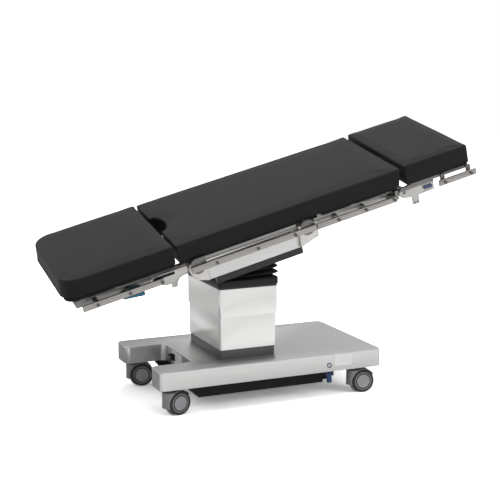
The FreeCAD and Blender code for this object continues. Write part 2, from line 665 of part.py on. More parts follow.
def back_housing(side):
    """Casting round the back hinge, tapered below, with its hinge cap."""
    span = flank(side, "housing_in", "housing_out")
    at = ("back_hinge", "hinge_height")
    shell = ramp(("back_housing_foot", span, ("housing_under", "housing_top")),
                 ("back_housing_head", span, ("back_housing_rise", "housing_top")))
    shell = rounded(shell, SIZES["housing_round"],
                    lambda edge: abs(edge.tangentAt(edge.FirstParameter).y) > 0.9
                    and edge.BoundBox.XMin > SIZES["back_hinge"])
    cap = rod("y", ("back_hinge", "hinge_height + cap_lift"), flank(side, "cap_in", "cap_out"), "hinge_cap")
    pin = rod("y", at, flank(side, "arm_in - side_gap", "housing_in + side_gap"), "pin")
    return join(shell, cap, pin)


def seat_section():
    pieces = [box(("-deck_foot", "deck_head"), both("beam_out"), ("carriage_top", "carriage_top + deck"))]
    for side in (-1, 1):
        pieces.append(box(("-beam_foot", "beam_head"), flank(side, "housing_in", "beam_out"),
                          ("carriage_top", PLATE_UNDER)))
    pieces.append(cross_beam("-beam_foot + cross_bar / 2", "housing_in"))
    pieces.append(cross_beam("beam_head - cross_bar / 2", "housing_in"))
    table("seat_frame", [join(*pieces, *carriages())])
    panels = []
    for side in (-1, 1):
        panel = box(("-leg_housing_head", "back_housing_foot"), flank(side, "panel_in", "panel_out"),
                    ("panel_under", "panel_top"))
        panels.append(rounded(panel, SIZES["panel_round"],
                              lambda edge: edge.Length > SIZES["leg_housing_head"]))
    table("seat_panels", panels)
    table("seat_rails", rail("seat_rail_foot", "seat_rail_head", SEAT_SCREWS))
    table("leg_housings", [leg_housing(side) for side in (-1, 1)])
    table("back_housings", [back_housing(side) for side in (-1, 1)])
    hollow = elliptic_cutout(PLATE_UNDER + " - 1", "pad_top + 1")
    table("seat_plate", [cut(box(("-main_foot + plate_inset", "back_hinge - cut_under"),
                                 both("pad_half - plate_inset"), (PLATE_UNDER, "pad_under")), hollow)])
    hollow = elliptic_cutout("pad_under - 1", "pad_top + 1")
    pad = taper(("pad_under", ("-main_foot", "back_hinge - cut_under"), both("pad_half")),
                ("pad_top", ("-main_foot", "back_hinge - cut_top"), both("pad_half - pad_taper")))
    table("seat_pad", [cut(softened(pad), hollow)])


def softened(pad):
    """Long upper edges of a pad, rounded."""
    def long_upper(edge):
        return edge.BoundBox.XLength > SIZES["pad_taper"] * 10 and edge.BoundBox.ZMin > SIZES["pad_top"] - 1
    return rounded(pad, SIZES["pad_round"], long_upper)


def elliptic_cutout(low, high):
    """Half-oval recess in the foot edge of the main pad."""
    oval = doc.addObject("Part::Ellipse", "Oval")
    oval.Placement = Placement(Vector(), Rotation(Vector(0, 0, 1), 90))
    bind(oval, "MajorRadius", "cutout_half")
    bind(oval, "MinorRadius", "cutout_depth")
    bind(oval, "Placement.Base.x", "-main_foot")
    bind(oval, "Placement.Base.z", low)
    item = doc.addObject("Part::Extrusion", "Cutout")
    item.Base = oval
    item.DirMode = "Custom"
    item.Dir = Vector(0, 0, 1)
    item.Solid = True
    bind(item, "LengthFwd", less(high, low))
    return item


def back_section():
    foot_side = ("back_hinge - cut_under + shaft_gap", "back_hinge + cut_under - shaft_gap")
    spine = box(foot_side, both("pad_half - pad_taper"), (PLATE_UNDER, "pad_under"))
    wedge = taper(("pad_under", foot_side, both("pad_half - pad_taper")),
                  ("pad_top", ("back_hinge - cut_top + shaft_gap", "back_hinge + cut_top - shaft_gap"),
                   both("pad_half - pad_taper")))
    table("bend_piece", [join(spine, wedge)])
    pad = taper(("pad_under", ("back_hinge + cut_under", "main_head - main_recede"), both("pad_half")),
                ("pad_top", ("back_hinge + cut_top", "main_head"), both("pad_half - pad_taper")))
    table("back_pad", [softened(pad)])
    plate = box(("back_hinge + cut_under", "main_head - main_recede - plate_inset"),
                both("pad_half - plate_inset"), (PLATE_UNDER, "pad_under"))
    slots = [box(("back_hinge", "back_housing_head + slot_reach"), flank(side, "arm_out", "pad_half"),
                 (PLATE_UNDER + " - 1", "pad_under + 1")) for side in (-1, 1)]
    table("back_plate", [cut(plate, *slots)])
    pieces, bores = [], []
    for side in (-1, 1):
        span = flank(side, "arm_in", "arm_out")
        head_at = ("head_hinge", "hinge_height")
        pieces.append(beam(side, "back_hinge", "head_hinge"))
        pieces.append(rod("y", ("back_hinge", "hinge_height"), span, "knuckle"))
        pieces.append(rod("y", head_at, span, "head_knuckle"))
        pieces.append(rod("y", head_at, flank(side, "arm_out - side_gap", "beam_out"), "head_pin"))
        bores.append(rod("y", ("back_hinge", "hinge_height"), flank(side, "0", "housing_in"),
                         "pin + shaft_gap"))
        pieces += plate_posts(side, BACK_POSTS)
        pieces += arm_span(BACK_SCREWS, side, "panel_out")
        pieces.append(box(("head_bracket_foot", "head_hinge - knuckle - split"),
                          flank(side, "arm_out", "beam_out"),
                          ("head_bracket_low + bracket_step", "housing_top")))
    pieces += [cross_beam(place, "arm_in + side_gap") for place in BACK_BEAMS]
    table("back_frame", [cut(join(*pieces), *bores)])
    table("back_rails", rail("back_rail_foot", "back_rail_head", BACK_SCREWS))


def head_section():
    pad = taper(("pad_under", ("head_foot", "head_head"), both("pad_half")),
                ("pad_top", ("head_foot", "head_head - pad_taper"), both("pad_half - pad_taper")))
    table("head_pad", [softened(pad)])
    table("head_plate", [box(("head_foot + plate_inset", "head_head - plate_inset"),
                             both("pad_half - plate_inset"), (PLATE_UNDER, "pad_under"))])
    pieces, bores = [], []
    tube = (PLATE_UNDER + " - head_bar", PLATE_UNDER)
    for side in (-1, 1):
        span = flank(side, "head_bracket_in", "beam_out")
        at = ("head_hinge", "hinge_height")
        pieces.append(rod("y", at, span, "knuckle"))
        pieces.append(ramp(("head_hinge", span, ("head_bracket_low + bracket_lift", "housing_top")),
                           ("head_hinge + bracket_run", span, ("head_bracket_low", PLATE_UNDER))))
        pieces.append(ramp(("head_hinge + bracket_run", span, ("head_bracket_low", PLATE_UNDER)),
                           ("head_bracket_head", span, (PLATE_UNDER + " - head_end_height", PLATE_UNDER))))
        pieces.append(box(("block_place - block_width / 2", "block_place + block_width / 2"), span,
                          ("block_low", "hinge_height")))
        pieces.append(box(("head_hinge + bracket_run", "head_head - plate_inset"), span, tube))
        bores.append(rod("y", at, flank(side, "arm_in", "beam_out + 1"), "head_pin + shaft_gap"))
        bores.append(rod("y", ("head_lever_pin", "head_lever_height"), flank(side, "0", "beam_out + 1"),
                         "lever_pin + shaft_gap"))
        for offset in ("-bore_offset", "bore_offset"):
            bores.append(rod("y", ("block_place + " + offset, "block_low + bore_lift"),
                             flank(side, "head_bracket_in - 1", "beam_out + 1"), "block_bore"))
        pieces += [box(("{} - fixing_half".format(place), "{} + fixing_half".format(place)),
                       flank(side, "beam_out - side_gap", "panel_out"),
                       ("rail_middle - rail_height / 2", PLATE_UNDER)) for place in HEAD_SCREWS]
    pieces += [box(("{} - cross_bar / 2".format(place), "{} + cross_bar / 2".format(place)),
                   both("head_bracket_in + side_gap"), tube) for place in HEAD_BEAMS]
    table("head_frame", [cut(join(*pieces), *bores)])
    table("head_rails", rail("head_rail_foot", "head_rail_head", HEAD_SCREWS))
    release("head_release", "head_lever_pin", "head_lever_end", "head_lever_height", "beam_out")


def release(name, pin, end, height, carrier):
    """Cross rod with a flat lever outside each side of the section."""
    outer = carrier + " + split + lever_pin"
    pieces = [rod("y", (pin, height), both(outer), "lever_pin")]
    for side in (-1, 1):
        span = flank(side, carrier + " + shaft_gap", outer)
        pieces.append(box((end, pin), span, (height + " - lever_width / 2", height + " + lever_width / 2")))
        pieces.append(rod("y", (pin, height), span, "lever_width / 2 + side_gap"))
    table(name, [join(*pieces)])


def leg_bracket(side):
    """Side plate of the leg section with its hook and the arch beside the hinge."""
    span = flank(side, "panel_in", "panel_out")
    nose = ramp(("leg_bracket_foot", span, ("leg_bracket_under + bracket_rise", "housing_top")),
                ("leg_bracket_foot + bracket_slope", span, ("leg_bracket_under", "housing_top")))
    plate = box(("leg_bracket_foot + bracket_slope", "hook_place"), span,
                ("leg_bracket_under", "housing_top"))
    hook = box(("hook_place - hook_width", "hook_place"), span, ("hook_under", "leg_bracket_under"))
    bridge = box(("hook_place", "leg_bracket_head"), span, ("hook_under + arch_radius", "housing_top"))
    corner = box(("hook_place", "hook_place + arch_radius"), span,
                 ("hook_under", "hook_under + arch_radius"))
    arch = rod("y", ("hook_place + arch_radius", "hook_under"),
               flank(side, "panel_in - 1", "panel_out + 1"), "arch_radius")
    return [nose, plate, hook, bridge, cut(corner, arch)]


def leg_section():
    pad = taper(("pad_under", ("-leg_foot", "-leg_head - leg_lean"), both("pad_half")),
                ("pad_top", ("-leg_foot + pad_taper", "-leg_head"), both("pad_half - pad_taper")))

    def foot_end(edge):
        return upright(edge) and edge.BoundBox.XMax < -(SIZES["leg_foot"] + SIZES["leg_head"]) / 2

    table("leg_pad", [rounded(pad, SIZES["foot_round"], foot_end)])
    plate = box(("-leg_foot + plate_inset", "-leg_head - leg_lean"), both("pad_half - plate_inset"),
                (PLATE_UNDER, "pad_under"))
    table("leg_plate", [rounded(plate, SIZES["foot_round"] - SIZES["plate_inset"], foot_end)])
    pieces, bores = [], []
    for side in (-1, 1):
        at = ("leg_hinge", "hinge_height")
        pieces.append(beam(side, "leg_tube_end", "leg_hinge"))
        pieces.append(rod("y", at, flank(side, "arm_in", "arm_out"), "knuckle"))
        bores.append(rod("y", at, flank(side, "0", "housing_in"), "pin + shaft_gap"))
        pieces += leg_bracket(side)
        bores.append(box(("leg_bracket_foot + slot_from", "leg_bracket_foot + slot_to"),
                         flank(side, "panel_in - 1", "panel_out + 1"),
                         ("housing_top - slot_drop - slot_height", "housing_top - slot_drop")))
        pieces.append(box(("leg_bracket_foot + link_from", "leg_bracket_head - link_to"),
                          flank(side, "arm_out", "panel_in"),
                          ("hinge_height - arm_half", "hinge_height + arm_half / 2")))
        pieces += plate_posts(side, LEG_POSTS)
        pieces += arm_span(LEG_SCREWS, side, "panel_out")
        pieces.append(box(("leg_lever_pin - lever_lug", "leg_lever_pin + lever_lug"),
                          flank(side, "arm_in", "arm_out"), ("lever_height - lever_lug", "hinge_height")))
        bores.append(rod("y", ("leg_lever_pin", "lever_height"), flank(side, "0", "panel_out"),
                         "lever_pin + shaft_gap"))
    pieces.append(cross_beam("leg_tube_end + cross_bar / 2", "arm_in + side_gap"))
    pieces.append(cross_beam(LEG_BEAM, "arm_in + side_gap"))
    table("leg_frame", [cut(join(*pieces), *bores)])
    table("leg_rails", rail("leg_rail_foot", "leg_rail_head", LEG_SCREWS))
    release("leg_release", "leg_lever_pin", "leg_lever_end", "lever_height", "arm_out")


base_cover()
base_frame()
underpan()
battery_pack()
sockets()
base_fittings()
brake_pedal()
for caster_name, (caster_end, caster_flank, caster_turn) in CASTERS.items():
    caster(caster_name, caster_end, caster_flank, caster_turn)
column()
column_head()
bellows()
tilt_block()
slide_bed()
seat_section()
back_section()
head_section()
leg_section()
doc.recompute()

for item in doc.Objects:
    if "Invalid" in item.State or "Error" in item.State:
        raise RuntimeError("{} ({}) failed: {}".format(item.Name, item.Label, item.State))
for item in nodes:
    if item.Shape.isNull() or not item.Shape.isValid() or not item.Shape.Solids:
        raise RuntimeError("{} has no valid shape".format(item.Label))

os.makedirs("parts", exist_ok=True)
for item in nodes:
    solids = item.Shape.Solids
    shape = solids[0] if len(solids) == 1 else Part.makeCompound(solids)
    shape.exportStep("parts/{}.step".format(item.Label))
    print("{:24s} {:2d} solids {:9.1f} cm3".format(item.Label, len(solids), shape.Volume / 1000))
print(len(nodes), "nodes")
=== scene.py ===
import bpy
import bmesh
import json
import math
from mathutils import Matrix, Vector
from mathutils.kdtree import KDTree

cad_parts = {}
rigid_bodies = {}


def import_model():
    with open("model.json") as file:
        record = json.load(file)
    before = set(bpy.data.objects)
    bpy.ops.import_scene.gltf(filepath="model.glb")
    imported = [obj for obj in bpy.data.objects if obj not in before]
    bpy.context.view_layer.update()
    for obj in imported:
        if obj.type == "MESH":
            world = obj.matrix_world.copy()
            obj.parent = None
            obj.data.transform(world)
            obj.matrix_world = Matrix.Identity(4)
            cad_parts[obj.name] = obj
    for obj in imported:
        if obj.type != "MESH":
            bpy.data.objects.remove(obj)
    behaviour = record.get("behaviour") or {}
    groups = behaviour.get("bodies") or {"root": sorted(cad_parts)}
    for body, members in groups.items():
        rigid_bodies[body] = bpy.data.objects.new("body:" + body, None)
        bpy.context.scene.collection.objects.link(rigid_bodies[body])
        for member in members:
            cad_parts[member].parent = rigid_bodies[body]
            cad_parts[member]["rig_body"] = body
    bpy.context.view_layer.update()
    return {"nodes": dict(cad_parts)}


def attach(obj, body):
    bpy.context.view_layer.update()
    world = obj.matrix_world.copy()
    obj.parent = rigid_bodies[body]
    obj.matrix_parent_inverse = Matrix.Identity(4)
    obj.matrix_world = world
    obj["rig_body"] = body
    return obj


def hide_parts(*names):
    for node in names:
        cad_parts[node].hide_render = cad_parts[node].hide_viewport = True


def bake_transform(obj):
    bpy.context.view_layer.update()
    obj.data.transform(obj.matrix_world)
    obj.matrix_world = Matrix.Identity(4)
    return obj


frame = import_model()
cadNodes = frame["nodes"]
print("frame loaded:", len(cadNodes), "nodes")

# The tabletop is level in its own millimetres, about the crossing of its two tilt axes
pivotHeight = 0.566
tableTilt = 11.9
tablePitch = 15.91
tiltMatrix = (Matrix.Translation((0, 0, pivotHeight))
              @ Matrix.Rotation(math.radians(tableTilt), 4, "X")
              @ Matrix.Rotation(math.radians(-tablePitch), 4, "Y"))
toMetres = Matrix.Scale(0.001, 4)
tableMatrix = tiltMatrix @ toMetres


def tablePoint(x, y, z):
    return tableMatrix @ Vector((x, y, z))


def inRadians(turn):
    return [math.radians(a) for a in turn]


# Camera at the photograph's place
cameraSettings = {"place": (-1.8715, -4.4683, 1.4349), "turn": (80.56, 0, -23.69), "lens": 80.86,
                  "sensor": 36, "reach": 60}


def makeCamera():
    s = cameraSettings
    camera = bpy.data.cameras.new("camera")
    camera.lens = s["lens"]
    camera.sensor_width = s["sensor"]
    camera.clip_end = s["reach"]
    cameraObject = bpy.data.objects.new("camera", camera)
    cameraObject.location = s["place"]
    cameraObject.rotation_euler = inRadians(s["turn"])
    bpy.context.scene.collection.objects.link(cameraObject)
    bpy.context.scene.camera = cameraObject


# A white studio: the camera and the reflections see white, the rest gets softer light
studioSettings = {"worldStrength": 0.5, "paper": 0.75, "paperSeen": 2.3, "paperMirrored": 1.1,
                  "paperGlow": 0.16, "floorSide": 28}
white = (1, 1, 1, 1)

# Area lamps; reflections don't show one that isn't mirrored
lampSettings = {
    "keyLamp": {"place": (-0.4, -0.6, 3.6), "aim": (0, 0, 0.4), "size": (2.6, 2.2), "power": 60,
                "mirrored": True},
    "fillLamp": {"place": (2.6, -2.6, 1.9), "aim": (0.1, 0, 0.4), "size": (1.6, 2.0), "power": 38,
                 "mirrored": False},
    "rimLamp": {"place": (-2.4, 2.4, 2.6), "aim": (0, 0, 0.5), "size": (2.0, 1.6), "power": 12,
                "mirrored": True},
}

# Dark cards that only reflections see, which shade the steel faces turned away from the light
cardSettings = {
    "nearCard": {"place": (-0.95, 0.65, 0.004), "size": (1.0, 1.5), "turn": (0, 0, 12), "level": 0.3},
    "sideCard": {"place": (-1.35, 2.6, 0.003), "size": (2.4, 2.3), "turn": (0, 0, 22), "level": 0.62},
    "leftCard": {"place": (0.0, 5.15, 1.4), "size": (3.2, 2.2), "turn": (90, 0, 0), "level": 0.25},
    "farCard": {"place": (0.8, 5.2, 1.3), "size": (9, 2.6), "turn": (90, 0, 0), "level": 0.55},
}


def makeLamp(name):
    s = lampSettings[name]
    lamp = bpy.data.lights.new(name, "AREA")
    lamp.shape = "RECTANGLE"
    lamp.size, lamp.size_y = s["size"]
    lamp.energy = s["power"]
    lampObject = bpy.data.objects.new(name, lamp)
    lampObject.location = s["place"]
    toAim = Vector(s["aim"]) - Vector(s["place"])
    lampObject.rotation_euler = toAim.to_track_quat("-Z", "Y").to_euler()
    lampObject.visible_glossy = s["mirrored"]
    bpy.context.scene.collection.objects.link(lampObject)


def rayShare(tree, *rays):
    # The socket that is 1 for the named kinds of ray
    path = tree.nodes.new("ShaderNodeLightPath")
    share = path.outputs[rays[0]]
    for other in rays[1:]:
        larger = tree.nodes.new("ShaderNodeMath")
        larger.operation = "MAXIMUM"
        tree.links.new(share, larger.inputs[0])
        tree.links.new(path.outputs[other], larger.inputs[1])
        share = larger.outputs[0]
    return share


def makeWorld():
    world = bpy.data.worlds.new("studio")
    bpy.context.scene.world = world
    world.use_nodes = True
    tree = world.node_tree
    tree.nodes.clear()
    out = tree.nodes.new("ShaderNodeOutputWorld")
    mix = tree.nodes.new("ShaderNodeMixShader")
    tree.links.new(rayShare(tree, "Is Camera Ray", "Is Glossy Ray", "Is Transmission Ray"), mix.inputs[0])
    for slot, strength in ((1, studioSettings["worldStrength"]), (2, 1.0)):
        light = tree.nodes.new("ShaderNodeBackground")
        light.inputs["Color"].default_value = white
        light.inputs["Strength"].default_value = strength
        tree.links.new(light.outputs[0], mix.inputs[slot])
    tree.links.new(mix.outputs[0], out.inputs["Surface"])


def stagePlane(name, place, size, turn, material):
    x, y = size[0] / 2, size[1] / 2
    mesh = bpy.data.meshes.new(name)
    mesh.from_pydata([(-x, -y, 0), (x, -y, 0), (x, y, 0), (-x, y, 0)], [], [(0, 1, 2, 3)])
    mesh.materials.append(material)
    plane = bpy.data.objects.new(name, mesh)
    plane.location = place
    plane.rotation_euler = inRadians(turn)
    bpy.context.scene.collection.objects.link(plane)
    return plane


def makeFloor():
    paper = bpy.data.materials.new("floorPaper")
    paper.use_nodes = True
    tree = paper.node_tree
    shader = tree.nodes["Principled BSDF"]
    shader.inputs["Roughness"].default_value = 1.0
    shader.inputs["Specular IOR Level"].default_value = 0.0
    seen = tree.nodes.new("ShaderNodeMapRange")
    seen.inputs["To Min"].default_value = studioSettings["paper"]
    seen.inputs["To Max"].default_value = studioSettings["paperSeen"]
    tree.links.new(rayShare(tree, "Is Camera Ray"), seen.inputs["Value"])
    mirrored = tree.nodes.new("ShaderNodeMapRange")
    tree.links.new(seen.outputs["Result"], mirrored.inputs["To Min"])
    mirrored.inputs["To Max"].default_value = studioSettings["paperMirrored"]
    tree.links.new(rayShare(tree, "Is Glossy Ray", "Is Transmission Ray"), mirrored.inputs["Value"])
    tree.links.new(mirrored.outputs["Result"], shader.inputs["Base Color"])
    glow = tree.nodes.new("ShaderNodeMapRange")
    glow.inputs["To Max"].default_value = studioSettings["paperGlow"]
    tree.links.new(rayShare(tree, "Is Camera Ray"), glow.inputs["Value"])
    shader.inputs["Emission Color"].default_value = white
    tree.links.new(glow.outputs["Result"], shader.inputs["Emission Strength"])
    side = studioSettings["floorSide"]
    stagePlane("floor", (0, 0, 0), (side, side), (0, 0, 0), paper)


def makeCards():
    for name, card in cardSettings.items():
        material = bpy.data.materials.new(name)
        material.use_nodes = True
        tree = material.node_tree
        tree.nodes.clear()
        out = tree.nodes.new("ShaderNodeOutputMaterial")
        glow = tree.nodes.new("ShaderNodeEmission")
        glow.inputs["Color"].default_value = white
        glow.inputs["Strength"].default_value = card["level"]
        tree.links.new(glow.outputs[0], out.inputs["Surface"])
        plane = stagePlane(name, card["place"], card["size"], card["turn"], material)
        plane.visible_camera = plane.visible_diffuse = plane.visible_shadow = False
        plane.visible_transmission = False


def makeStudio():
    makeWorld()
    makeFloor()
    makeCards()
    for name in lampSettings:
        makeLamp(name)
    bpy.context.scene.view_settings.view_transform = "Standard"
    print("studio and camera ready")


# A material's patterns read Object coordinates, and even values stand on the shader's own sockets
class Recipe:
    def __init__(self, name, **sockets):
        self.material = bpy.data.materials.new(name)
        self.material.use_nodes = True
        self.tree = self.material.node_tree
        self.shader = self.tree.nodes["Principled BSDF"]
        for socket, value in sockets.items():
            self.shader.inputs[socket.replace("_", " ")].default_value = value
        self.coords = self.tree.nodes.new("ShaderNodeTexCoord")

    def mapped(self, scale, turn=(0, 0, 0)):
        mapping = self.tree.nodes.new("ShaderNodeMapping")
        mapping.inputs["Scale"].default_value = scale
        mapping.inputs["Rotation"].default_value = inRadians(turn)
        self.tree.links.new(self.coords.outputs["Object"], mapping.inputs["Vector"])
        return mapping.outputs["Vector"]

    def noise(self, scale, detail=3, stretch=(1, 1, 1), turn=(0, 0, 0), rough=0.5):
        node = self.tree.nodes.new("ShaderNodeTexNoise")
        node.inputs["Scale"].default_value = scale
        node.inputs["Detail"].default_value = detail
        node.inputs["Roughness"].default_value = rough
        self.tree.links.new(self.mapped(stretch, turn), node.inputs["Vector"])
        return node.outputs["Fac"]

    def cells(self, scale):
        node = self.tree.nodes.new("ShaderNodeTexVoronoi")
        node.inputs["Scale"].default_value = scale
        self.tree.links.new(self.mapped((1, 1, 1)), node.inputs["Vector"])
        return node.outputs["Distance"]

    def ramp(self, source, stops):
        node = self.tree.nodes.new("ShaderNodeValToRGB")
        elements = node.color_ramp.elements
        while len(elements) < len(stops):
            elements.new(0.5)
        for element, (place, colour) in zip(elements, stops):
            element.position = place
            element.color = (*colour, 1)
        self.tree.links.new(source, node.inputs["Fac"])
        return node.outputs["Color"]

    def spread(self, source, low, high):
        node = self.tree.nodes.new("ShaderNodeMapRange")
        node.inputs["To Min"].default_value = low
        node.inputs["To Max"].default_value = high
        self.tree.links.new(source, node.inputs["Value"])
        return node.outputs["Result"]

    def bump(self, source, strength, distance=0.0003):
        node = self.tree.nodes.new("ShaderNodeBump")
        node.inputs["Strength"].default_value = strength
        node.inputs["Distance"].default_value = distance
        self.tree.links.new(source, node.inputs["Height"])
        self.tree.links.new(node.outputs["Normal"], self.shader.inputs["Normal"])

    def drive(self, source, socket):
        self.tree.links.new(source, self.shader.inputs[socket])


def grey(level):
    return (level, level, level)


def brushedSteel(name, stretch, low, high, tint=(1, 1, 1), roughness=(0.26, 0.42), turn=(0, 0, 0),
                 bump=0.12):
    # Noise stretched along the brushing colours, roughens and bumps the steel
    steel = Recipe(name, Metallic=1.0)
    grain = steel.noise(1.0, 6, stretch, turn, rough=0.65)
    dark = tuple(low * t for t in tint)
    light = tuple(high * t for t in tint)
    steel.drive(steel.ramp(grain, [(0.3, dark), (0.7, light)]), "Base Color")
    steel.drive(steel.spread(grain, *roughness), "Roughness")
    steel.bump(grain, bump)
    return steel.material


def paddedCover():
    cover = Recipe("paddedCover", Specular_IOR_Level=0.13)
    cloud = cover.noise(7, 3)
    cover.drive(cover.ramp(cloud, [(0.3, grey(0.0105)), (0.75, grey(0.014))]), "Base Color")
    cover.drive(cover.spread(cover.noise(38, 4), 0.44, 0.54), "Roughness")
    cover.bump(cover.cells(900), 0.12)
    return cover.material


def plastic(name, colour, roughness=(0.35, 0.5), grainScale=700, bump=0.08, shine=0.45):
    recipe = Recipe(name, Specular_IOR_Level=shine)
    cloud = recipe.noise(12, 3)
    dim = tuple(c * 0.86 for c in colour)
    recipe.drive(recipe.ramp(cloud, [(0.35, dim), (0.65, colour)]), "Base Color")
    recipe.drive(recipe.spread(recipe.noise(60, 2), *roughness), "Roughness")
    recipe.bump(recipe.noise(grainScale, 2), bump)
    return recipe.material


def rubber(name, level, roughness=(0.55, 0.75)):
    recipe = Recipe(name, Specular_IOR_Level=0.35)
    cloud = recipe.noise(18, 4)
    dark, light = grey(level * 0.75), grey(level * 1.2)
    recipe.drive(recipe.ramp(cloud, [(0.35, dark), (0.7, light)]), "Base Color")
    recipe.drive(recipe.spread(cloud, *roughness), "Roughness")
    recipe.bump(recipe.noise(420, 3), 0.15, 0.0004)
    return recipe.material


def castAlloy(name, level, roughness=(0.3, 0.46)):
    recipe = Recipe(name, Metallic=0.9)
    cloud = recipe.noise(24, 4)
    dark = (level * 0.93, level * 0.91, level * 0.88)
    light = (level * 1.05, level * 1.03, level)
    recipe.drive(recipe.ramp(cloud, [(0.35, dark), (0.65, light)]), "Base Color")
    recipe.drive(recipe.spread(recipe.noise(90, 3), *roughness), "Roughness")
    recipe.bump(recipe.noise(500, 3), 0.06)
    return recipe.material


def tinted(name, colour, roughness):
    # Anodised metal, as on the release levers
    recipe = Recipe(name, Metallic=0.55, Coat_Weight=0.3, Coat_Roughness=0.15)
    cloud = recipe.noise(40, 3)
    dim = tuple(c * 0.8 for c in colour)
    recipe.drive(recipe.ramp(cloud, [(0.3, dim), (0.7, colour)]), "Base Color")
    recipe.drive(recipe.spread(cloud, *roughness), "Roughness")
    return recipe.material


# The grain of the tabletop's steel follows the tilted table
alongTable = (-11.9, 15.9, 0)
materials = {made.name: made for made in (
    brushedSteel("coverSteel", (3, 240, 240), 0.565, 0.62, (1, 1, 0.99), (0.28, 0.4), bump=0.08),
    brushedSteel("sleeveSteel", (420, 420, 2), 0.74, 0.78, (1, 1, 0.985), (0.26, 0.32), bump=0.04),
    # The plinth sleeve's steel is painted near black: a painted dark reflection and painted shade on
    # stainless steel
    brushedSteel("plinthPaintedReflection", (260, 260, 2), 0.08, 0.11),
    brushedSteel("panelSteel", (4, 260, 260), 0.52, 0.60, (1, 1, 0.99), (0.26, 0.36), alongTable),
    brushedSteel("railSteel", (5, 300, 300), 0.28, 0.37, (1, 0.955, 0.92), (0.24, 0.36), alongTable),
    castAlloy("screwSteel", 0.12, (0.35, 0.45)),
    castAlloy("sectionAlloy", 0.38),
    castAlloy("bracketAlloy", 0.46),
    castAlloy("housingAlloy", 0.58),
    castAlloy("hingeAlloy", 0.17),
    castAlloy("beamAlloy", 0.20),
    paddedCover(),
    plastic("blackPlastic", grey(0.007), (0.5, 0.65), 700, 0.08, 0.2),
    plastic("blackPaint", grey(0.012), (0.4, 0.5), 300, 0.04),
    plastic("darkPaint", grey(0.03), (0.4, 0.55), 300, 0.05),
    rubber("bellowsRubber", 0.008, (0.5, 0.62)),
    rubber("treadRubber", 0.045),
    plastic("casterGrey", (0.30, 0.303, 0.31), (0.4, 0.55)),
    plastic("hubGrey", (0.33, 0.335, 0.345), (0.35, 0.5)),
    plastic("hubRing", (0.40, 0.405, 0.415), (0.35, 0.46)),
    plastic("palePlastic", (0.84, 0.86, 0.86), (0.3, 0.4)),
    plastic("glidePlastic", (0.6, 0.59, 0.56), (0.4, 0.5)),
    plastic("bluePlastic", (0.008, 0.035, 0.13), (0.3, 0.42)),
    tinted("leverBlue", (0.005, 0.13, 0.22), (0.25, 0.4)),
    tinted("leverSlate", (0.05, 0.07, 0.16), (0.25, 0.4)),
    castAlloy("groundSteel", 0.66, (0.1, 0.2)),
)}
print("materials made:", len(materials))


def meshObject(name, bm, material, matrix=None, smooth=35):
    if matrix is not None:
        bmesh.ops.transform(bm, matrix=matrix, verts=bm.verts)
    mesh = bpy.data.meshes.new(name)
    bm.to_mesh(mesh)
    bm.free()
    piece = bpy.data.objects.new(name, mesh)
    bpy.context.scene.collection.objects.link(piece)
    mesh.materials.append(materials[material])
    shadeByAngle(mesh, smooth)
    return piece


def shadeByAngle(mesh, angle):
    mesh.shade_smooth()
    mesh.set_sharp_from_angle(angle=math.radians(angle))


def applyModifiers(piece):
    graph = bpy.context.evaluated_depsgraph_get()
    mesh = bpy.data.meshes.new_from_object(piece.evaluated_get(graph))
    piece.modifiers.clear()
    piece.data = mesh


def evenMesh(piece, size):
    even = piece.modifiers.new("even", "REMESH")
    even.mode = "VOXEL"
    even.voxel_size = size
    applyModifiers(piece)


def fasten(piece, body, replaced=()):
    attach(piece, body)
    if replaced:
        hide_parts(*replaced)


# Angles in degrees: an edge sharper than "bevelled" is rounded, one sharper than "smooth" shades hard,
# and faces that differ by less than "flat" are merged
edgeSettings = {"segments": 2, "bevelled": 30, "smooth": 32, "flat": 1.0, "merge": 0.00002}
# Rings of flat faces that can't be merged into one face
ringPieces = ("base_cover", "underpan")


def softEdges(piece, width):
    bevel = piece.modifiers.new("edge", "BEVEL")
    bevel.width = width
    bevel.segments = edgeSettings["segments"]
    bevel.limit_method = "ANGLE"
    bevel.angle_limit = math.radians(edgeSettings["bevelled"])
    bevel.harden_normals = True
    bevel.use_clamp_overlap = True
    applyModifiers(piece)


def dressedCopy(nodeName, material, edge):
    # A CAD node's own shape, with softened edges and a finish
    s = edgeSettings
    source = cadNodes[nodeName]
    bm = bmesh.new()
    bm.from_mesh(source.data)
    bmesh.ops.remove_doubles(bm, verts=bm.verts, dist=s["merge"])
    if nodeName not in ringPieces:
        bmesh.ops.dissolve_limit(bm, angle_limit=math.radians(s["flat"]), verts=bm.verts, edges=bm.edges)
    piece = meshObject(nodeName + "_finished", bm, material, None, s["smooth"])
    softEdges(piece, edge)
    shadeByAngle(piece.data, s["smooth"])
    fasten(piece, source["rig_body"], (nodeName,))


def loft(bm, rings, closedEnds=True):
    made = [[bm.verts.new(point) for point in ring] for ring in rings]
    count = len(made[0])
    for low, high in zip(made, made[1:]):
        for i in range(count):
            j = (i + 1) % count
            bm.faces.new((low[i], low[j], high[j], high[i]))
    if closedEnds:
        bm.faces.new(list(reversed(made[0])))
        bm.faces.new(made[-1])


def roundedOutline(halfX, halfY, radius, steps):
    points = []
    for quarter, (sx, sy) in enumerate(((1, 1), (-1, 1), (-1, -1), (1, -1))):
        for i in range(steps + 1):
            a = math.radians(90 * (quarter + i / steps))
            points.append((sx * (halfX - radius) + radius * math.cos(a),
                           sy * (halfY - radius) + radius * math.sin(a)))
    return points


def lathe(bm, profile, centre, steps):
    # profile holds (radius, along) pairs about an axle along Y; one on the axle gets a tiny ring
    axle = Vector((0, 1, 0))
    side = axle.orthogonal().normalized()
    other = axle.cross(side)
    leastRadius = 0.01
    rings = []
    for radius, along in profile:
        ring = []
        for i in range(steps):
            a = 2 * math.pi * i / steps
            spoke = side * math.cos(a) + other * math.sin(a)
            ring.append(Vector(centre) + axle * along + spoke * max(radius, leastRadius))
        rings.append(ring)
    loft(bm, rings)


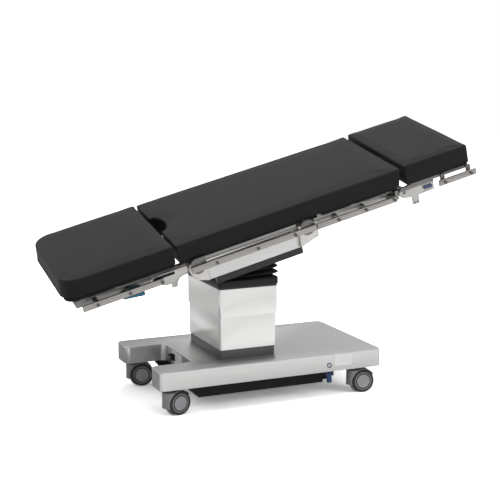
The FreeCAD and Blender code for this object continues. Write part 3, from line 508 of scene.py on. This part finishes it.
# Pads: a tapered, crowned foam block in a coated cover, swelled by a short cloth simulation
padSettings = {
    "main": {"foot": -297, "head": 745, "recede": 16, "lean": 0, "crown": 3, "lift": 1},
    "leg": {"foot": -783, "head": -304, "recede": 4, "lean": -8, "crown": 3, "lift": 4},
    "head": {"foot": 759, "head": 1078, "recede": 0, "lean": 0, "crown": 2, "lift": 6},
    "top": 296, "under": 222, "half": 267, "taper": 6, "edge": 5, "lowEdge": 3, "corner": 6, "footCorner": 78,
    "cutoutHalf": 82, "cutoutDepth": 44, "start": 0.5, "voxel": 4, "crownFrom": 0.5, "hinge": (272, 0, 185),
    "bend": 60, "cornerSteps": 8, "cutoutSteps": 24, "lowSteps": 4, "topSteps": 5,
}
coverSettings = {"voxel": 0.022, "pressure": 3.5, "frames": 14, "cap": 0.0025, "neighbours": 5, "held": 0.012,
                 "nearest": 0.002}


def padOutline(kind, foot, head, half):
    # Anticlockwise from the far head corner, with the cutout on the main pad's foot edge
    p = padSettings
    corners = [("head", head, half, 0), ("foot", foot, half, 90),
               ("foot", foot, -half, 180), ("head", head, -half, 270)]
    points = []
    for end, x, y, start in corners:
        radius = p["footCorner" if kind == "leg" and end == "foot" else "corner"]
        cx = x - math.copysign(radius, x - (foot + head) / 2)
        cy = y - math.copysign(radius, y)
        for i in range(p["cornerSteps"] + 1):
            a = math.radians(start + 90 * i / p["cornerSteps"])
            points.append((cx + radius * math.cos(a), cy + radius * math.sin(a)))
        if kind == "main" and start == 90:
            for i in range(p["cutoutSteps"] + 1):
                a = math.pi * i / p["cutoutSteps"]
                points.append((foot + p["cutoutDepth"] * math.sin(a), p["cutoutHalf"] * math.cos(a)))
    return points


def padShape(kind):
    s = padSettings[kind]
    p = padSettings
    # Levels of the side: height, and how far the rounded edge draws it in
    levels = []
    edge = p["edge"]
    low = p["lowEdge"]
    for i in range(p["lowSteps"] + 1):
        a = math.radians(90 * i / p["lowSteps"])
        levels.append((p["under"] + low * (1 - math.cos(a)), low * (1 - math.sin(a))))
    for i in range(p["topSteps"] + 1):
        a = math.radians(90 * i / p["topSteps"])
        levels.append((p["top"] - edge + edge * math.sin(a), edge * (1 - math.cos(a))))
    rings = []
    for z, inset in levels:
        share = (z - p["under"]) / (p["top"] - p["under"])
        half = p["half"] - p["taper"] * share - inset - p["start"]
        foot = s["foot"] - s["lean"] * share + inset + p["start"]
        head = s["head"] - s["recede"] * (1 - share) - inset - p["start"]
        rings.append([(x, y, z) for x, y in padOutline(kind, foot, head, half)])
    bm = bmesh.new()
    loft(bm, rings)
    bmesh.ops.triangulate(bm, faces=[f for f in bm.faces if len(f.verts) > 4])
    return bm


def crownTop(piece, kind):
    # The pad is still level here, in millimetres
    s = padSettings[kind]
    p = padSettings
    middle = (s["foot"] + s["head"]) / 2
    for vertex in piece.data.vertices:
        at = vertex.co
        share = (at.z - p["under"]) / (p["top"] - p["under"])
        if share > p["crownFrom"]:
            across = max(0, 1 - (at.y / p["half"]) ** 2)
            along = max(0, 1 - ((at.x - middle) / ((s["head"] - s["foot"]) / 2)) ** 4)
            rise = (share - p["crownFrom"]) / (1 - p["crownFrom"])
            at.z += (s["crown"] * (across * along) ** 0.5 + s["lift"]) * rise


def coverSwell(piece):
    # A coarse copy of the cover is blown up, and its moves are carried over to the fine mesh
    s = coverSettings
    coarse = bpy.data.objects.new("coarseCover", piece.data.copy())
    bpy.context.scene.collection.objects.link(coarse)
    evenMesh(coarse, s["voxel"])
    before = [vertex.co.copy() for vertex in coarse.data.vertices]
    lowest = min(co.z for co in before)
    held = coarse.vertex_groups.new(name="held")
    held.add([i for i, co in enumerate(before) if co.z < lowest + s["held"]], 1.0, "REPLACE")
    cloth = coarse.modifiers.new("cover", "CLOTH")
    cloth.settings.vertex_group_mass = "held"
    cloth.settings.use_pressure = True
    cloth.settings.uniform_pressure_force = s["pressure"]
    cloth.settings.effector_weights.gravity = 0
    cloth.point_cache.frame_start = 1
    cloth.point_cache.frame_end = s["frames"]
    for number in range(1, s["frames"] + 1):
        bpy.context.scene.frame_set(number)
    applyModifiers(coarse)
    bpy.context.scene.frame_set(1)
    moves = [vertex.co - old for vertex, old in zip(coarse.data.vertices, before)]
    tree = KDTree(len(before))
    for i, co in enumerate(before):
        tree.insert(co, i)
    tree.balance()
    for vertex in piece.data.vertices:
        total, weight = Vector(), 0.0
        for _co, i, distance in tree.find_n(vertex.co, s["neighbours"]):
            share = 1 / (distance + s["nearest"])
            total += moves[i] * share
            weight += share
        move = total / weight
        if move.length > s["cap"]:
            move *= s["cap"] / move.length
        vertex.co += move
    bpy.data.objects.remove(coarse)


def makePad(name, kind, body, replaced):
    piece = meshObject(name, padShape(kind), "paddedCover")
    evenMesh(piece, padSettings["voxel"])
    crownTop(piece, kind)
    piece.data.transform(toMetres)
    coverSwell(piece)
    piece.data.transform(tiltMatrix)
    piece.data.shade_smooth()
    piece.data.materials.clear()
    piece.data.materials.append(materials["paddedCover"])
    if body:
        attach(piece, body)
    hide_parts(*replaced)
    print("pad made:", name, len(piece.data.polygons), "faces")
    return piece


def makePads():
    main = makePad("mainPad", "main", None, ("seat_pad", "bend_piece", "back_pad"))
    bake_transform(main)
    makePad("legPad", "leg", "leg", ("leg_pad",))
    makePad("headPad", "head", "head", ("head_pad",))


# Bellows: rounded folds from the lip on the column to the underside of the slide bed
bellowsSettings = {"folds": 5, "tipX": 139, "tipY": 199, "valley": 24, "corner": 18, "leastCorner": 6,
                   "cornerPull": 0.4, "cornerSteps": 4, "perFold": 10, "low": -34.6, "high": 97.6,
                   "wall": 0.0015, "smooth": 50}


def bellowsRing(share):
    # The rings turn with the tabletop, from level on the column to its full tilt
    s = bellowsSettings
    phase = (share * s["folds"]) % 1.0
    inset = s["valley"] * (1 - abs(math.cos(math.pi * phase)))
    half, side = s["tipX"] - inset, s["tipY"] - inset
    corner = max(s["leastCorner"], s["corner"] - inset * s["cornerPull"])
    height = s["low"] + share * (s["high"] - s["low"])
    turn = (Matrix.Rotation(math.radians(tableTilt * share), 4, "X")
            @ Matrix.Rotation(math.radians(-tablePitch * share), 4, "Y"))
    placed = Matrix.Translation((0, 0, pivotHeight * 1000)) @ turn
    return [toMetres @ (placed @ Vector((x, y, height)))
            for x, y in roundedOutline(half, side, corner, s["cornerSteps"])]


def makeBellows():
    s = bellowsSettings
    total = s["folds"] * s["perFold"]
    middle = total // 2
    for name, first, last in (("bellowsLower", 0, middle), ("bellowsUpper", middle, total)):
        bm = bmesh.new()
        loft(bm, [bellowsRing(i / total) for i in range(first, last + 1)], False)
        piece = meshObject(name, bm, "bellowsRubber", None, s["smooth"])
        wall = piece.modifiers.new("wall", "SOLIDIFY")
        wall.thickness = s["wall"]
        wall.offset = -1
        applyModifiers(piece)
        shadeByAngle(piece.data, s["smooth"])
        if name == "bellowsLower":
            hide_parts("bellows")
            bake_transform(piece)
        else:
            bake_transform(piece)
    print("bellows made")


# Casters: rounded treads and stepped hubs in the CAD housings
casterSettings = {"radius": 50, "rim": 40, "inner": 8.5, "width": 20, "trail": 40, "axle": 6, "axleHalf": 9,
                  "treadSteps": 64, "hubSteps": 56, "axleSteps": 24, "housingEdge": 0.0012,
                  "turns": {"near_foot": (-383, -245, 14), "near_head": (478, -245, -6),
                            "far_foot": (-383, 245, -12), "far_head": (478, 245, 6)}}


def makeCaster(name):
    s = casterSettings
    x, y, turn = s["turns"][name]
    place = toMetres @ Matrix.Translation((x, y, 0)) @ Matrix.Rotation(math.radians(turn), 4, "Z")
    centre = (s["trail"], 0, s["radius"])
    inner, outer = s["inner"], s["inner"] + s["width"]
    r, rim = s["radius"], s["rim"]
    # Points (radius, along the axle), from a wheel's inner face to its outer one
    treadProfile = [(rim, inner), (r - 3, inner), (r - 0.8, inner + 1.2), (r, inner + 4), (r, outer - 5),
                    (r - 0.9, outer - 2), (r - 2.6, outer - 0.6), (r - 5, outer), (rim + 1.2, outer),
                    (rim + 0.6, outer - 0.8), (rim, outer - 2)]
    hubProfile = [(0, inner), (rim - 0.2, inner), (rim - 0.2, outer - 2.6), (rim - 1.2, outer - 1.6),
                  (rim - 4, outer - 1.6), (rim - 6, outer - 3.2), (31.5, outer - 3.4), (31, outer - 4.2),
                  (0, outer - 4.2)]
    capProfile = [(0, outer - 4), (30, outer - 4), (30, outer - 1.2), (29.2, outer - 0.4),
                  (25.5, outer - 0.3), (25, outer - 1.2), (16.5, outer - 1.6), (16, outer - 0.9),
                  (15.2, outer - 0.5), (6.5, outer - 0.5), (6, outer - 1.4), (0, outer - 1.4)]
    axle, half = s["axle"], s["axleHalf"]
    axleProfile = [(0, -half), (axle, -half), (axle, half), (0, half)]
    tread, hub, cap = bmesh.new(), bmesh.new(), bmesh.new()
    for side in (-1, 1):
        for bm, profile, steps in ((tread, treadProfile, s["treadSteps"]), (hub, hubProfile, s["hubSteps"]),
                                   (cap, capProfile, s["hubSteps"])):
            lathe(bm, [(radius, along * side) for radius, along in profile], centre, steps)
    lathe(hub, axleProfile, centre, s["axleSteps"])
    for part, bm, material, slot, replaced in (
            ("casterTread_", tread, "treadRubber", "tyre", ("caster_tyres_" + name,)),
            ("casterHub_", hub, "hubGrey", "hub_grey", ("caster_hubs_" + name,)),
            ("casterCap_", cap, "hubRing", "hub_grey", ())):
        bmesh.ops.recalc_face_normals(bm, faces=bm.faces)
        fasten(meshObject(part + name, bm, material, place), "wheel_" + name, replaced)
    dressedCopy("caster_housing_" + name, "casterGrey", s["housingEdge"])


# Screw heads along the rails, made by one node tree
screwSettings = {"radius": 7, "height": 2.6, "socket": 4, "railFace": 293, "level": 182, "sunk": 0.4,
                 "mark": 1, "sides": 28, "socketSides": 6, "smooth": 30,
                 "places": {"leg": (-661, -525, -388), "seat": (-148, 36, 209), "back": (412, 544, 682),
                            "head": (935, 1066)}}


def screwTree():
    tree = bpy.data.node_groups.new("screwHeads", "GeometryNodeTree")
    tree.interface.new_socket("Geometry", in_out="INPUT", socket_type="NodeSocketGeometry")
    inputs = {}
    for key, label, kind in (("radius", "Head Radius", "Float"), ("height", "Head Height", "Float"),
                             ("socket", "Socket Radius", "Float"), ("finish", "Finish", "Material")):
        made = tree.interface.new_socket(label, in_out="INPUT", socket_type="NodeSocket" + kind)
        inputs[key] = made.identifier
    tree.interface.new_socket("Geometry", in_out="OUTPUT", socket_type="NodeSocketGeometry")
    add, link = tree.nodes.new, tree.links.new
    entry, result = add("NodeGroupInput"), add("NodeGroupOutput")
    head = add("GeometryNodeMeshCylinder")
    head.inputs["Vertices"].default_value = screwSettings["sides"]
    link(entry.outputs["Head Radius"], head.inputs["Radius"])
    link(entry.outputs["Head Height"], head.inputs["Depth"])
    # The socket is cut from the middle of the head to its outer face
    well = add("GeometryNodeMeshCylinder")
    well.inputs["Vertices"].default_value = screwSettings["socketSides"]
    link(entry.outputs["Socket Radius"], well.inputs["Radius"])
    link(entry.outputs["Head Height"], well.inputs["Depth"])
    lift = add("GeometryNodeTransform")
    raised = add("ShaderNodeCombineXYZ")
    half = add("ShaderNodeMath")
    half.operation = "MULTIPLY"
    half.inputs[1].default_value = 0.5
    link(entry.outputs["Head Height"], half.inputs[0])
    link(half.outputs[0], raised.inputs["Z"])
    link(raised.outputs[0], lift.inputs["Translation"])
    link(well.outputs["Mesh"], lift.inputs["Geometry"])
    cut = add("GeometryNodeMeshBoolean")
    cut.operation = "DIFFERENCE"
    link(head.outputs["Mesh"], cut.inputs["Mesh 1"])
    link(lift.outputs["Geometry"], cut.inputs["Mesh 2"])
    normal = add("GeometryNodeInputNormal")
    align = add("FunctionNodeAlignRotationToVector")
    align.axis = "Z"
    link(normal.outputs[0], align.inputs["Vector"])
    points = add("GeometryNodeMeshToPoints")
    points.mode = "FACES"
    # A face's normal is kept as a turn before the face becomes a point
    keep = add("GeometryNodeCaptureAttribute")
    keep.domain = "FACE"
    keep.capture_items.new("ROTATION", "Turn")
    link(entry.outputs["Geometry"], keep.inputs["Geometry"])
    link(align.outputs["Rotation"], keep.inputs["Turn"])
    link(keep.outputs["Geometry"], points.inputs["Mesh"])
    copies = add("GeometryNodeInstanceOnPoints")
    link(points.outputs["Points"], copies.inputs["Points"])
    link(cut.outputs["Mesh"], copies.inputs["Instance"])
    link(keep.outputs["Turn"], copies.inputs["Rotation"])
    real = add("GeometryNodeRealizeInstances")
    link(copies.outputs["Instances"], real.inputs["Geometry"])
    paint = add("GeometryNodeSetMaterial")
    link(real.outputs["Geometry"], paint.inputs["Geometry"])
    link(entry.outputs["Finish"], paint.inputs["Material"])
    link(paint.outputs["Geometry"], result.inputs["Geometry"])
    return tree, inputs


def makeScrews():
    s = screwSettings
    tree, sockets = screwTree()
    for section, places in s["places"].items():
        bm = bmesh.new()
        for side in (-1, 1):
            for x in places:
                # A small quad per screw; its face normal gives the screw's direction
                y = side * (s["railFace"] + s["height"] * 0.5 - s["sunk"])
                left, right = x - s["mark"], x + s["mark"]
                low, high = s["level"] - s["mark"], s["level"] + s["mark"]
                quad = [(left, y, low), (right, y, low), (right, y, high), (left, y, high)]
                if side > 0:
                    quad.reverse()
                bm.faces.new([bm.verts.new(corner) for corner in quad])
        piece = meshObject(section + "Screws", bm, "screwSteel", tableMatrix)
        heads = piece.modifiers.new("heads", "NODES")
        heads.node_group = tree
        for size in ("radius", "height", "socket"):
            heads[sockets[size]] = s[size] * 0.001
        heads[sockets["finish"]] = materials["screwSteel"]
        applyModifiers(piece)
        shadeByAngle(piece.data, s["smooth"])
        fasten(piece, section)
    print("screws made")


# CAD nodes whose shape is right: their finish, the record's slot and the width of the softened edge
finishes = {
    "base_cover": ("coverSteel", "cover_steel", 0.0012),
    # The plinth's near-black finish is a painted dark reflection and painted shade on stainless steel
    "column_plinth": ("plinthPaintedReflection", "cover_steel", 0.0006),
    "mid_sleeve": ("sleeveSteel", "cover_steel", 0.0008),
    "upper_sleeve": ("sleeveSteel", "cover_steel", 0.0008),
    "seat_panels": ("panelSteel", "cover_steel", 0.0012),
    "underpan": ("blackPlastic", "black_plastic", 0.0015),
    "base_frame": ("darkPaint", "frame_steel", 0.0008),
    "socket_panel": ("palePlastic", "pale_plastic", 0.0006),
    "mains_inlet": ("blackPlastic", "inlet_black", 0.0006),
    "side_plate": ("palePlastic", "pale_plastic", 0.0003),
    "marker_ring": ("bluePlastic", "blue_plastic", 0.0004),
    "brake_pedal": ("bluePlastic", "blue_plastic", 0.001),
    "column_head": ("darkPaint", "frame_steel", 0.001),
    "bellows_lip": ("bellowsRubber", "bellows_rubber", 0.002),
    "lateral_drive": ("darkPaint", "frame_steel", 0.001),
    "pitch_drive": ("darkPaint", "frame_steel", 0.001),
    "cross_block": ("darkPaint", "frame_steel", 0.001),
    "slide_bed": ("blackPaint", "tray_black", 0.0015),
    "linear_rails": ("groundSteel", "ground_steel", 0.0006),
    "seat_frame": ("sectionAlloy", "section_frame", 0.001),
    "leg_housings": ("housingAlloy", "section_frame", 0.0015),
    "back_housings": ("housingAlloy", "section_frame", 0.0015),
    "seat_rails": ("railSteel", "rail_steel", 0.0008),
    "back_rails": ("railSteel", "rail_steel", 0.0008),
    "head_rails": ("railSteel", "rail_steel", 0.0008),
    "leg_rails": ("railSteel", "rail_steel", 0.0008),
    "back_frame": ("sectionAlloy", "section_frame", 0.001),
    "head_frame": ("bracketAlloy", "section_frame", 0.001),
    "leg_frame": ("bracketAlloy", "section_frame", 0.001),
    "seat_plate": ("blackPlastic", "black_plastic", 0.001),
    "back_plate": ("blackPlastic", "black_plastic", 0.001),
    "head_plate": ("blackPlastic", "black_plastic", 0.001),
    "leg_plate": ("blackPlastic", "black_plastic", 0.001),
    "head_release": ("leverSlate", "blue_plastic", 0.0008),
    "leg_release": ("leverBlue", "blue_plastic", 0.0008),
}
# Inner nodes keep their own mesh and only get a material
innerFinishes = {"battery_pack": "blackPlastic", "plinth_glides": "glidePlastic",
                 "mid_glides": "glidePlastic", "outer_mast": "darkPaint", "inner_mast": "darkPaint",
                 "lift_cylinder": "darkPaint", "lift_rod": "groundSteel"}

# The hinge caps are darker than their housings, and the outer beams darker than the brackets
capSettings = {"nodes": ("leg_housings", "back_housings"), "outside": 278.2, "material": "hingeAlloy"}
beamSettings = {
    "material": "beamAlloy", "touching": 0.00001,
    "cuts": {"leg_frame": {"axis": 0, "cut": -421, "side": -1},
             "head_frame": {"axis": 2, "cut": 192, "side": 1},
             "back_frame": {"axis": 0, "cut": 668, "side": 1}},
}


def colourDarkParts():
    toTable = tableMatrix.inverted()
    for nodeName in capSettings["nodes"]:
        mesh = bpy.data.objects[nodeName + "_finished"].data
        mesh.materials.append(materials[capSettings["material"]])
        for face in mesh.polygons:
            corners = [toTable @ mesh.vertices[i].co for i in face.vertices]
            if max(abs(corner.y) for corner in corners) > capSettings["outside"]:
                face.material_index = 1
    for nodeName, part in beamSettings["cuts"].items():
        mesh = bpy.data.objects[nodeName + "_finished"].data
        mesh.materials.append(materials[beamSettings["material"]])
        place = [part["cut"] if i == part["axis"] else 0 for i in range(3)]
        direction = Vector([1 if i == part["axis"] else 0 for i in range(3)])
        bm = bmesh.new()
        bm.from_mesh(mesh)
        bmesh.ops.bisect_plane(bm, geom=list(bm.verts) + list(bm.edges) + list(bm.faces),
                               dist=beamSettings["touching"], plane_co=tablePoint(*place),
                               plane_no=tiltMatrix.to_3x3() @ direction)
        for face in bm.faces:
            if ((toTable @ face.calc_center_median())[part["axis"]] - part["cut"]) * part["side"] > 0:
                face.material_index = 1
        bm.to_mesh(mesh)
        bm.free()
        shadeByAngle(mesh, edgeSettings["smooth"])


def makeSidePair(name, settings, material, body):
    # The same bar on both sides of the table, lofted from its outline seen from the side
    bm = bmesh.new()
    for side in (-1, 1):
        loft(bm, [[(x, side * y, z) for x, z in settings["outline"]]
                  for y in (settings["inner"], settings["outer"])])
    bmesh.ops.recalc_face_normals(bm, faces=bm.faces)
    piece = meshObject(name, bm, material, tableMatrix)
    softEdges(piece, settings["edge"])
    fasten(piece, body)


# Blades of the leg release lever, under the rails where a hand finds them
bladeSettings = {"outline": ((-556, 163), (-474, 151), (-466, 153), (-466, 166), (-556, 166.5)),
                 "inner": 244, "outer": 288, "edge": 0.0012}

# Dark wear liners in the slots of the leg brackets
linerSettings = {"outline": ((-414, 189), (-326, 189), (-326, 201.5), (-414, 201.5)),
                 "inner": 262, "outer": 272.8, "edge": 0.0004}


def finishNodes():
    for nodeName, (material, slot, edge) in finishes.items():
        dressedCopy(nodeName, material, edge)
    for nodeName, material in innerFinishes.items():
        mesh = cadNodes[nodeName].data
        mesh.materials.clear()
        mesh.materials.append(materials[material])
    colourDarkParts()
    makeSidePair("legLeverBlades", bladeSettings, "leverBlue", "leg_lever")
    makeSidePair("legSlotLiners", linerSettings, "blackPlastic", "leg")
    print("frame pieces finished:", len(finishes) + len(innerFinishes))


makeCamera()
makeStudio()
makePads()
makeBellows()
for casterName in casterSettings["turns"]:
    makeCaster(casterName)
print("casters made")
makeScrews()
finishNodes()
